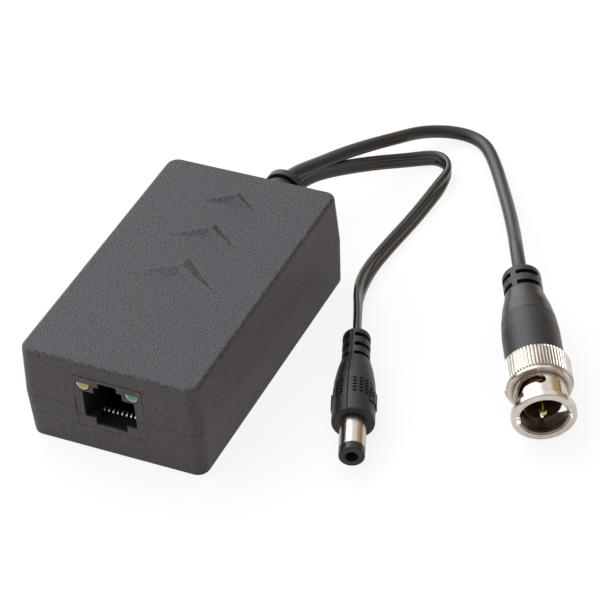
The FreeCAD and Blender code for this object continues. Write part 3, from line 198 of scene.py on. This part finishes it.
class Finish(Tree):
    """A surface finish: constant values sit on the shader, and what changes is linked to it."""

    def __init__(self, name, **constants):
        self.material = bpy.data.materials.new(name)
        self.material.use_nodes = True
        super().__init__(self.material.node_tree)
        self.shader = self.tree.nodes["Principled BSDF"]
        for key, value in constants.items():
            self.shader.inputs[key.replace("_", " ")].default_value = value

    def place(self):
        """Object coordinates: metres from the origin."""
        return self.node("ShaderNodeTexCoord", {}, {}, "Object")

    def along(self, direction, origin=(0, 0, 0)):
        """How far a surface point lies from an origin along a direction, in millimetres."""
        sockets = {0: self.place(), 1: Vector(origin) * MM}
        moved = self.node("ShaderNodeVectorMath", {"operation": "SUBTRACT"}, sockets)
        return self.dot(moved, Vector(direction).normalized() / MM)

    def noise(self, scale, detail=2.0, roughness=0.5, stretch=None):
        place = self.place()
        if stretch:
            place = self.node("ShaderNodeMapping", {}, {"Vector": place, "Scale": stretch})
        sockets = {"Vector": place, "Scale": scale, "Detail": detail, "Roughness": roughness}
        return self.node("ShaderNodeTexNoise", {}, sockets)

    def relief(self, height, depth):
        """A bump: one unit of the height stands up by the depth, in metres."""
        bump = self.node("ShaderNodeBump", {}, {"Height": height, "Distance": depth})
        self.tree.links.new(bump.socket, self.shader.inputs["Normal"])
        return self

    def lay(self, **sockets):
        for key, value in sockets.items():
            self.tree.links.new(value.socket, self.shader.inputs[key.replace("_", " ")])
        return self


# Finishes


def case_finish(name, painted_shade_inside=False):
    """The housing's plastic: spark-eroded grain, strongest on top, and a thin parting line; its walls' colour
    is painted lighter than its top's, as painted light.

    The socket's plastic has painted shade behind its face, going near black further in.
    """
    made = Finish(name, Specular_IOR_Level=0.42)
    grain = made.noise(3000, 2.0, 0.65)
    grit = made.noise(6500, 1.0)
    seam = made.near(made.along((0, 0, 1), (0, 0, PARTING)), 0.03, 0.06)
    # Painted light: the walls' colour is lighter than the top's, standing in for the light that falls on
    # them.
    lit_sides = made.blend(made.fade(grain, 0.36, 0.66), (0.088, 0.076, 0.073), (0.026, 0.0215, 0.0205))
    top = made.blend(made.fade(grain, 0.43, 0.59), (0.074, 0.069, 0.081), (0.0015, 0.001, 0.002))
    tone = made.blend(made.fade(made.along((0, 0, 1)), CASE_TOP - 0.6, CASE_TOP - 0.1), lit_sides, top)
    tone = made.blend(seam * 0.7, tone, (0.003, 0.003, 0.003))
    gloss = made.fade(grit, 0.3, 0.7, 0.38, 0.54)
    if painted_shade_inside:
        # Painted shade: the socket's plastic goes near black behind its face, where no light reaches.
        inward_shade = made.fade(made.along((0, 1, 0), (0, JACK_FACE, 0)), 0.05, 0.5)
        tone = made.blend(inward_shade, tone, (0.0015, 0.0015, 0.0015))
        gloss = gloss + inward_shade * 0.5
    made.lay(Base_Color=tone, Roughness=gloss)
    return made.relief(grain + grit * 0.4 - seam * 2.0, 0.00014).material


def plain_finish(name, light, dark, roughness, scale, depth, gloss=0.5):
    """Moulded or coated pieces: a little mottling in colour, gloss and surface."""
    made = Finish(name, Specular_IOR_Level=gloss)
    fine = made.noise(scale, 3.0, 0.6)
    tone = made.blend(made.fade(made.noise(scale / 14), 0.3, 0.7), light, dark)
    rough = made.fade(fine, 0.3, 0.7, roughness - 0.05, roughness + 0.05)
    return made.lay(Base_Color=tone, Roughness=rough).relief(fine, depth).material


def boot_finish(name, seam=None, smooth_band=None, painted_shade_root=None):
    """Black vinyl with a sparkling grain, and a mould seam, a glossier band or painted shade at the end where
    it meets the nut.
    """
    made = Finish(name, Specular_IOR_Level=0.5)
    grain = made.noise(2600, 2.0, 0.7)
    grit = made.noise(6000, 1.0)
    tone = made.blend(made.fade(grain, 0.42, 0.62), (0.0160, 0.0140, 0.0165), (0.0004, 0.0003, 0.0004))
    height = grain + grit * 0.5
    gloss = made.fade(grit, 0.3, 0.7, 0.24, 0.40)
    if smooth_band:
        origin, axis, middle, half = smooth_band
        band = made.near(made.along(axis, origin) - middle, half, 0.2)
        height = height * made.fade(band, 0.0, 1.0, 1.0, 0.25) - band * 1.4
        gloss = gloss * made.fade(band, 0.0, 1.0, 1.0, 0.8)
    # Painted shade: near black where the boot meets the nut, for the contact shadow there.
    if painted_shade_root:
        origin, axis, start = painted_shade_root
        shaded = made.fade(made.along(axis, origin), start + 0.15, start + 0.6, 1.0, 0.0)
        tone = made.blend(shaded * 0.9, tone, (0.0003, 0.0003, 0.0003))
        gloss = gloss + shaded * 0.5
    if seam:
        origin, across = seam
        crease = made.near(made.along(across, origin), 0.05, 0.09)
        height = height - crease * 6.0
        tone = made.blend(crease * 0.9, tone, (0.0003, 0.0003, 0.0003))
        gloss = gloss + crease * 0.4
    return made.lay(Base_Color=tone, Roughness=gloss).relief(height, 0.0001).material


def plated_finish(name, light, dark, roughness, scale, depth, stretch=None):
    """Plated metal: tarnish in the colour, and fine marks in the gloss."""
    made = Finish(name, Metallic=1.0)
    marks = made.noise(scale, 3.0, 0.6, stretch)
    tone = made.blend(made.fade(made.noise(260, 3.0), 0.35, 0.7), light, dark)
    rough = made.fade(marks, 0.3, 0.7, roughness - 0.05, roughness + 0.07)
    return made.lay(Base_Color=tone, Roughness=rough).relief(marks, depth).material


def nut_finish(name):
    """The bayonet plug's nickel, rougher and with painted shade in the knurl's valleys, the creases, round
    the mouth and in the bore; the valleys' painted shade is weaker on the plug's left.
    """
    made = Finish(name, Metallic=1.0)
    back, left, upward = [made.along(axis, BNC_FRONT) for axis in BNC_AXES]
    radius = (left ** 2 + upward ** 2) ** 0.5
    marks = made.noise(1500, 3.0, 0.6)
    tone = made.blend(made.fade(made.noise(300, 3.0), 0.3, 0.7), (0.74, 0.70, 0.64), (0.60, 0.54, 0.46))
    toothed = made.fade(back, TEETH_START - 0.1, TEETH_START + 0.1)
    # Painted shade in the knurl's valleys, weaker on the plug's left, where the light falls.
    valley_shade = made.fade(radius, KNURL_FOOT + 0.08, KNURL_CREST - 0.06, 1.0, 0.0) * toothed
    valley_shade = valley_shade * made.fade(left, 3.0, -4.0, 0.12, 0.6)
    # Painted shade: the bore is painted dark brown, for the shade inside the nut.
    bore = made.fade(radius, NUT_BORE - 0.1, NUT_BORE + 0.15, 1.0, 0.0)
    # Painted shade in the creases at the knurl's front and at the ring's back.
    crease = made.greater(made.near(back - KNURL_START, 0.06, 0.22), made.near(back - RING_BACK, 0.10, 0.25))
    crease = crease * made.fade(radius, NECK_RADIUS, RIM_RADIUS, 1.0, 0.0)
    # Painted shade: a dark line round the mouth's inner edge.
    lip_shade = made.near(radius - MOUTH_EDGE, 0.04, 0.12) * made.fade(back, 0.5, 0.2)
    shade_and_dull = made.greater(valley_shade, made.greater(crease, lip_shade) * 0.8)
    # The painted shade's colours: dark brown in the valleys, creases and round the mouth, brown in the bore;
    # these places are also rougher.
    tone = made.blend(shade_and_dull, tone, (0.060, 0.042, 0.028))
    tone = made.blend(bore * 0.85, tone, (0.28, 0.20, 0.13))
    rough = made.fade(marks, 0.3, 0.7, 0.12, 0.24) + made.greater(shade_and_dull, bore) * 0.25
    return made.lay(Base_Color=tone, Roughness=rough).relief(marks, 0.000006).material


def barrel_finish(name):
    """The power plug's barrel: nickel with fine turning marks round it."""
    made = Finish(name, Metallic=1.0)
    sockets = {"W": made.along(DC_BACK, DC_FRONT), "Scale": 14.0, "Detail": 3.0}
    turning = made.node("ShaderNodeTexNoise", {"noise_dimensions": "1D"}, sockets)
    tone = made.blend(made.fade(turning, 0.4, 0.6), (0.76, 0.72, 0.66), (0.50, 0.43, 0.34))
    rough = made.fade(turning, 0.3, 0.7, 0.12, 0.24)
    return made.lay(Base_Color=tone, Roughness=rough).relief(turning, 0.000012).material


def lens_finish(name, middle, pale, light, deep):
    """Tinted plastic of a lamp's lens: cloudy, with a painted glint low on its left rim and painted shade
    round it where it meets its window.
    """
    made = Finish(name, Roughness=0.28, IOR=1.5, Transmission_Weight=0.15)
    cloud = made.noise(900)
    across = made.along((1, 0, 0), middle)
    height = made.along((0, 0, 1), middle)
    radius = (across ** 2 + height ** 2) ** 0.5
    # Painted glint: the rim is paler low on its left.
    edge = made.fade(radius, 1.05, 1.22) * made.fade(across + height, 0.9, -0.6)
    tone = made.blend(edge, made.blend(made.fade(cloud, 0.35, 0.65), light, deep), pale)
    # Painted shade: a near black ring at the lens's rim, where it meets its window.
    tone = made.blend(made.fade(radius, 1.38, 1.46), tone, (0.004, 0.004, 0.003))
    return made.lay(Base_Color=tone).relief(cloud, 0.00001).material


def depth_shaded_finish(name, colour, way, mouth, bright, dark):
    """Plated metal in a socket, with painted shade: bright near the mouth, then painted near black further
    in.
    """
    made = Finish(name, Metallic=1.0, Roughness=0.28)
    behind = made.fade(made.along(way, mouth), bright, dark)
    return made.lay(Base_Color=made.blend(behind, colour, (0.012, 0.010, 0.007))).material


case_plastic = case_finish("case_plastic")
# The socket's plastic has painted shade behind its face.
jack_plastic = case_finish("jack_plastic", painted_shade_inside=True)
dark_plastic = plain_finish("dark_plastic", (0.010, 0.010, 0.010), (0.007, 0.007, 0.007), 0.45, 1800, 0.00001)
nose_plastic = plain_finish(
    "nose_plastic", (0.020, 0.019, 0.019), (0.014, 0.0135, 0.0135), 0.25, 1800, 0.00001, 0.4)

relief_vinyl = boot_finish("relief_vinyl")
# The bayonet plug's boot has painted shade where it meets the nut.
bnc_vinyl = boot_finish(
    "bnc_vinyl", smooth_band=(BNC_FRONT, BNC_BACK, BOOT_BAND, BOOT_BAND_HALF),
    painted_shade_root=(BNC_FRONT, BNC_BACK, NUT_LENGTH))
dc_seam_side = DC_UP * math.cos(DC_SEAM_TURN) - DC_LEFT * math.sin(DC_SEAM_TURN)
dc_vinyl = boot_finish("dc_vinyl", seam=(DC_FRONT, dc_seam_side))
coax_vinyl = plain_finish(
    "coax_vinyl", (0.0085, 0.0080, 0.0105), (0.0060, 0.0056, 0.0075), 0.32, 1500, 0.00001, 0.65)
twin_vinyl = plain_finish(
    "twin_vinyl", (0.0060, 0.0056, 0.0066), (0.0042, 0.0039, 0.0046), 0.2, 1500, 0.000006, 1.0)

plug_nickel = nut_finish("plug_nickel")
barrel_nickel = barrel_finish("barrel_nickel")
# Painted shade: the barrel plug's inner contact is painted near black further in.
bore_nickel = depth_shaded_finish("bore_nickel", (0.60, 0.55, 0.48), DC_BACK, DC_FRONT, 0.5, 1.6)
nickel = plated_finish("nickel", (0.66, 0.62, 0.56), (0.56, 0.51, 0.44), 0.2, 1600, 0.000006)
steel = plated_finish("steel", (0.62, 0.61, 0.58), (0.5, 0.49, 0.46), 0.3, 2000, 0.00001)
gilt = plated_finish("gilt", (0.86, 0.62, 0.25), (0.78, 0.54, 0.2), 0.2, 2000, 0.000004)
# Painted shade: the socket's contacts are painted near black further in.
contact_gilt = depth_shaded_finish(
    "contact_gilt", (0.95, 0.84, 0.66), (0, 1, 0), (0, JACK_FACE, 0), 3.75, 4.35)

LAMPS = {}
for lamp in ("led_yellow", "led_green"):
    low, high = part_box(lamp)
    LAMPS[lamp] = Vector(((low[0] + high[0]) / 2 / MM, JACK_FACE, high[2] / MM - LAMP_FLAT))
# The first colour of each lens is its painted glint.
yellow_lens = lens_finish(
    "yellow_lens", LAMPS["led_yellow"], (0.80, 0.75, 0.42), (0.46, 0.41, 0.11), (0.33, 0.28, 0.05))
green_lens = lens_finish(
    "green_lens", LAMPS["led_green"], (0.50, 0.66, 0.52), (0.12, 0.38, 0.17), (0.07, 0.25, 0.10))

# Pieces that are hidden in the housing and in the plugs
board_lacquer = plain_finish("board_lacquer", (0.02, 0.12, 0.05), (0.015, 0.09, 0.04), 0.4, 900, 0.00001)
ferrite = plain_finish("ferrite", (0.05, 0.05, 0.05), (0.03, 0.03, 0.03), 0.6, 1500, 0.00002)
ceramic = plain_finish("ceramic", (0.55, 0.52, 0.47), (0.48, 0.45, 0.42), 0.35, 1500, 0.00001)
blue_coat = plain_finish("blue_coat", (0.02, 0.07, 0.25), (0.02, 0.05, 0.2), 0.3, 1500, 0.00001)
amber_coat = plain_finish("amber_coat", (0.55, 0.28, 0.02), (0.45, 0.22, 0.02), 0.35, 1500, 0.00001)
sleeve_film = plain_finish("sleeve_film", (0.01, 0.01, 0.02), (0.012, 0.012, 0.02), 0.25, 900, 0.00001)
seal_rubber = plain_finish("seal_rubber", (0.22, 0.03, 0.02), (0.18, 0.03, 0.02), 0.5, 1500, 0.00001)
copper = plated_finish("copper", (0.5, 0.2, 0.08), (0.42, 0.16, 0.06), 0.3, 3000, 0.00004, (1, 1, 0.1))

FINISHES = {
    "top_cover": case_plastic, "bottom_case": case_plastic, "case_screws": steel,
    "circuit_board": board_lacquer, "jack_housing": jack_plastic, "jack_carrier": dark_plastic,
    "jack_contacts": contact_gilt, "led_yellow": yellow_lens, "led_green": green_lens,
    "balun_core": ferrite, "balun_windings": copper, "surge_arresters": ceramic,
    "power_choke": ferrite, "filter_capacitor": sleeve_film, "chip_resistors": ceramic,
    "resettable_fuse": amber_coat, "signal_capacitors": blue_coat, "strain_relief": relief_vinyl,
    "coax_tail": coax_vinyl, "power_wires": twin_vinyl, "coax_cable": coax_vinyl,
    "power_lead": twin_vinyl, "bnc_coupling_nut": plug_nickel, "bnc_body": plug_nickel,
    "bnc_insulator": dark_plastic, "bnc_centre_pin": gilt, "bnc_gasket": seal_rubber,
    "bnc_crimp_sleeve": nickel, "bnc_wave_washer": steel, "bnc_thrust_washer": nickel,
    "bnc_retaining_ring": steel, "bnc_boot": bnc_vinyl, "dc_boot": dc_vinyl,
    "dc_barrel": barrel_nickel, "dc_insulator": nose_plastic, "dc_inner_contact": bore_nickel,
}


def paint(thing, material):
    thing.data.materials.clear()
    thing.data.materials.append(material)


for name, thing in nodes.items():
    paint(thing, FINISHES[name])


def piece_of(bm, name, material, smooth=True):
    """Makes an object of a bmesh, and paints it."""
    bmesh.ops.recalc_face_normals(bm, faces=bm.faces)
    data = bpy.data.meshes.new(name)
    bm.to_mesh(data)
    bm.free()
    for face in data.polygons:
        face.use_smooth = smooth
    made = bpy.data.objects.new(name, data)
    scene.collection.objects.link(made)
    paint(made, material)
    return made


# Leads: each follows its route's points, in millimetres

COAX_ROUTE = [
    (0.6, 47.2, 12.2), (0.6, 48.6, 12.2), (1.35, 50.6, 12.25), (2.6, 52.9, 12.2), (4.9, 56.4, 11.95),
    (8.1, 62.4, 11.3), (11.7, 69.9, 9.5), (15.0, 77.4, 7.1), (17.1, 82.9, 5.2), (19.7, 87.1, 3.4),
    (22.9, 89.6, 2.3), (26.5, 90.4, 1.75), (30.0, 89.6, 1.55), (33.0, 87.4, 1.51), (37.0, 82.0, 1.6),
    (42.0, 73.6, 2.5), (48.0, 62.7, 5.2), (53.6, 51.6, 8.2), (58.28, 41.39, 11.81), (61.52, 35.23, 11.07),
]
TWIN_ROUTE = [
    (1.4, 47.2, 9.2), (1.4, 48.6, 9.2), (1.9, 50.6, 9.3), (2.7, 53.3, 9.32), (4.9, 57.1, 9.0),
    (8.85, 62.2, 7.86), (13.3, 69.0, 5.41), (17.4, 75.1, 2.8), (20.7, 78.6, 1.82), (23.2, 79.7, 1.78),
    (25.5, 79.1, 1.78), (27.1, 77.5, 1.78), (28.0, 75.3, 1.8), (28.3, 72.2, 1.8), (27.95, 66.2, 1.66),
    (27.15, 56.2, 1.56), (25.75, 46.0, 1.51), (25.15, 36.5, 1.85), (27.0, 27.0, 3.4), (31.89, 16.08, 6.3),
    (34.14, 10.53, 5.98),
]
# How far the twin lead is rolled from lying flat, in radians, at shares of its length
TWIN_ROLL = [(0, 1.15), (0.3, 1.1), (0.4, 1.5), (0.52, 2.35), (0.72, 2.4), (0.95, 1.6), (1, 1.6)]


def nurbs(name, route):
    """A smooth curve with a route's points as its control points."""
    data = bpy.data.curves.new(name, "CURVE")
    data.dimensions = "3D"
    data.resolution_u = 16
    line = data.splines.new("NURBS")
    line.points.add(len(route) - 1)
    for point, place in zip(line.points, route):
        point.co = (*(Vector(place) * MM), 1)
    line.order_u = 3
    line.use_endpoint_u = True
    made = bpy.data.objects.new(name, data)
    scene.collection.objects.link(made)
    return made


def line_of(curve):
    """Points along a curve that has no bevel."""
    bpy.context.view_layer.update()
    graph = bpy.context.evaluated_depsgraph_get()
    mesh = bpy.data.meshes.new_from_object(curve.evaluated_get(graph))
    points = [vertex.co.copy() for vertex in mesh.vertices]
    bpy.data.meshes.remove(mesh)
    return points


def length_of(points):
    return sum((b - a).length for a, b in zip(points, points[1:]))


def keyed(keys, share):
    """A smooth value that passes through (share, value) keys."""
    for (s0, v0), (s1, v1) in zip(keys, keys[1:]):
        if share <= s1:
            t = max(0.0, min(1.0, (share - s0) / (s1 - s0)))
            return v0 + (v1 - v0) * t * t * (3 - 2 * t)
    return keys[-1][1]


def twin_section(bm, wide, thick, web):
    """Two round conductors side by side, joined by a web: a circle drawn out and pinched."""
    lobe_middle = 0.52
    lobe_half = 0.48
    web_half = 0.12
    outer_edge = 0.995
    ring = bmesh.ops.create_circle(bm, segments=28, radius=1.0)["verts"]
    for vert in ring:
        share = abs(vert.co.x)
        lobe = 0.0
        if share > web_half:
            lobe = math.sqrt(max(0.0, 1 - ((share - lobe_middle) / lobe_half) ** 2))
        height = max(web, lobe) * thick / 2
        vert.co.y = math.copysign(height, vert.co.y) if share < outer_edge else 0.0
        vert.co.x *= wide / 2
    return ring


def frame_at(path, index, roll):
    """Where a section stands on a path: across it, level, then rolled."""
    along = (path[min(index + 1, len(path) - 1)] - path[max(index - 1, 0)]).normalized()
    side = along.cross(Vector((0, 0, 1))).normalized()
    turned = Matrix.Rotation(roll, 3, along)
    axes = Matrix((turned @ side, turned @ side.cross(along), along)).transposed()
    return Matrix.Translation(path[index]) @ axes.to_4x4()


def flat_lead(name, path, rolls, material):
    """The flat lead: its section is extruded along the path, a step at a time."""
    total = length_of(path)
    bm = bmesh.new()
    ring = twin_section(bm, TWIN_WIDTH * MM, TWIN_THICKNESS * MM, TWIN_WEB)
    place = frame_at(path, 0, keyed(rolls, 0))
    bmesh.ops.transform(bm, matrix=place, verts=ring)
    bmesh.ops.contextual_create(bm, geom=ring)
    edges = bm.edges[:]
    gone = 0.0
    for index in range(1, len(path)):
        gone += (path[index] - path[index - 1]).length
        step = bmesh.ops.extrude_edge_only(bm, edges=edges)["geom"]
        verts = [part for part in step if isinstance(part, bmesh.types.BMVert)]
        edges = [part for part in step if isinstance(part, bmesh.types.BMEdge)]
        following = frame_at(path, index, keyed(rolls, gone / total))
        bmesh.ops.transform(bm, matrix=following @ place.inverted(), verts=verts)
        place = following
    bmesh.ops.contextual_create(bm, geom=edges)
    return piece_of(bm, name, material)


def sprung_washer():
    """The bayonet plug's wave washer, as a piece of its own made from the part's mesh."""
    bm = bmesh.new()
    bm.from_mesh(nodes["bnc_wave_washer"].data)
    bmesh.ops.remove_doubles(bm, verts=bm.verts, dist=0.001 * MM)
    made = piece_of(bm, "wave_washer", steel, smooth=False)
    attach(made, "housing")
    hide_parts("bnc_wave_washer")
    front = (BNC_FRONT + BNC_BACK * WASHER_FRONT) * MM
    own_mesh(made)
    return made


wave_washer = sprung_washer()

coax = nurbs("coax_lead", COAX_ROUTE)
coax_line = line_of(coax)
coax.data.bevel_depth = COAX_RADIUS * MM
coax.data.bevel_resolution = 6
paint(coax, coax_vinyl)
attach(coax, "housing")
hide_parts("coax_cable")

twin_guide = nurbs("twin_guide", TWIN_ROUTE)
twin_line = line_of(twin_guide)
bpy.data.objects.remove(twin_guide)
twin = flat_lead("twin_lead", twin_line, TWIN_ROLL, twin_vinyl)
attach(twin, "housing")
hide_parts("power_lead")


def lamp_brow(name, lamp):
    """The jack's face where it comes down over a lamp: a disc cut level and drawn into the window."""
    middle = LAMPS[lamp] + Vector((0, BROW_SETBACK, 0))
    bm = bmesh.new()
    standing = Matrix.Translation(middle * MM) @ Matrix.Rotation(math.pi / 2, 4, "X")
    bmesh.ops.create_circle(bm, cap_ends=True, segments=48, radius=LAMP_WINDOW * MM, matrix=standing)
    level = (middle + Vector((0, 0, LAMP_FLAT + BROW_GAP))) * MM
    bmesh.ops.bisect_plane(
        bm, geom=bm.verts[:] + bm.edges[:] + bm.faces[:], plane_co=level, plane_no=(0, 0, 1),
        clear_inner=True)
    drawn = bmesh.ops.extrude_face_region(bm, geom=bm.faces[:], use_keep_orig=True)["geom"]
    verts = [part for part in drawn if isinstance(part, bmesh.types.BMVert)]
    bmesh.ops.translate(bm, vec=(0, BROW_DEPTH * MM, 0), verts=verts)
    made = piece_of(bm, name, jack_plastic, smooth=False)
    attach(made, "housing")


lamp_brow("yellow_lamp_brow", "led_yellow")
lamp_brow("green_lamp_brow", "led_green")


# Floor, light and camera


def floor_paint():
    """Pale paint that the camera sees as white, with the object's shadow kept in it."""
    made = Finish("floor_paint", Roughness=0.9, Specular_IOR_Level=0.1, Base_Color=(0.68, 0.665, 0.65, 1))
    seen = made.greater(made.ray("Is Camera Ray"), made.ray("Is Glossy Ray") * 0.5)
    share = made.greater(seen, made.ray("Is Transmission Ray")) * 0.75
    glow = made.node("ShaderNodeEmission", {}, {"Color": (1, 1, 1), "Strength": 1.12})
    painted = Signal(made.tree, made.shader.outputs[0])
    surface = made.node("ShaderNodeMixShader", {}, {0: share, 1: painted, 2: glow})
    made.tree.links.new(surface.socket, made.tree.nodes["Material Output"].inputs["Surface"])
    return made.material


def lay_floor():
    bm = bmesh.new()
    bmesh.ops.create_grid(bm, x_segments=1, y_segments=1, size=3)
    piece_of(bm, "floor", floor_paint())


def light_the_sky():
    """A window of light on the left, a pale studio overhead, and a dimmer room, warm at the back."""
    world = bpy.data.worlds.new("studio")
    scene.world = world
    world.use_nodes = True
    sky = Tree(world.node_tree)
    way = sky.node("ShaderNodeTexCoord", {}, {}, "Generated")
    at_back = sky.fade(sky.dot(way, (0.35, 0.94, 0)), 0.3, 0.7)
    above_horizon = sky.ease(sky.dot(way, (0, 0, 1)), 0.02, 0.14)
    overhead = sky.ease(sky.dot(way, (-0.475, 0.15, 1.0)), 0.42, 0.74)
    window = sky.ease(sky.dot(way, (-0.88, 0.2, 0.43)), 0.58, 0.84)
    colour = sky.blend(at_back, (0.56, 0.53, 0.54), (0.50, 0.35, 0.18))
    colour = sky.blend(above_horizon, (0.03, 0.027, 0.025), colour)
    colour = sky.blend(overhead, colour, (0.98, 0.98, 1.03))
    colour = sky.blend(window, colour, (2.3, 2.3, 2.4))
    seen = sky.greater(sky.ray("Is Camera Ray"), sky.ray("Is Transmission Ray"))
    colour = sky.blend(seen, colour, (1.0, 1.0, 1.0))
    world.node_tree.links.new(colour.socket, world.node_tree.nodes["Background"].inputs["Color"])


def hang_key_light(place, side, power):
    """A square lamp that faces the origin."""
    data = bpy.data.lights.new("key", "AREA")
    data.size = side
    data.energy = power
    made = bpy.data.objects.new("key", data)
    made.location = place
    made.rotation_euler = (-Vector(place)).to_track_quat("-Z", "Y").to_euler()
    scene.collection.objects.link(made)


def aim_camera():
    """The photograph's view, worked out from the sizes of the connectors and the housing."""
    data = bpy.data.cameras.new("camera")
    data.lens = 160.55
    data.sensor_width = 36
    data.clip_start = 0.01
    place = Vector((226.828, -375.130, 367.825)) * MM
    right = Vector((0.90542, 0.41889, -0.06875))
    upright = Vector((-0.21733, 0.59655, 0.77259))
    ahead = Vector((-0.36466, 0.68458, -0.63117))
    turn = Matrix((right, upright, -ahead)).transposed().to_4x4()
    camera = bpy.data.objects.new("camera", data)
    scene.collection.objects.link(camera)
    camera.matrix_world = Matrix.Translation(place) @ turn
    scene.camera = camera


lay_floor()
light_the_sky()
hang_key_light((-0.46, 0.26, 0.60), 0.45, 0.6)
aim_camera()
scene.view_settings.view_transform = "Standard"
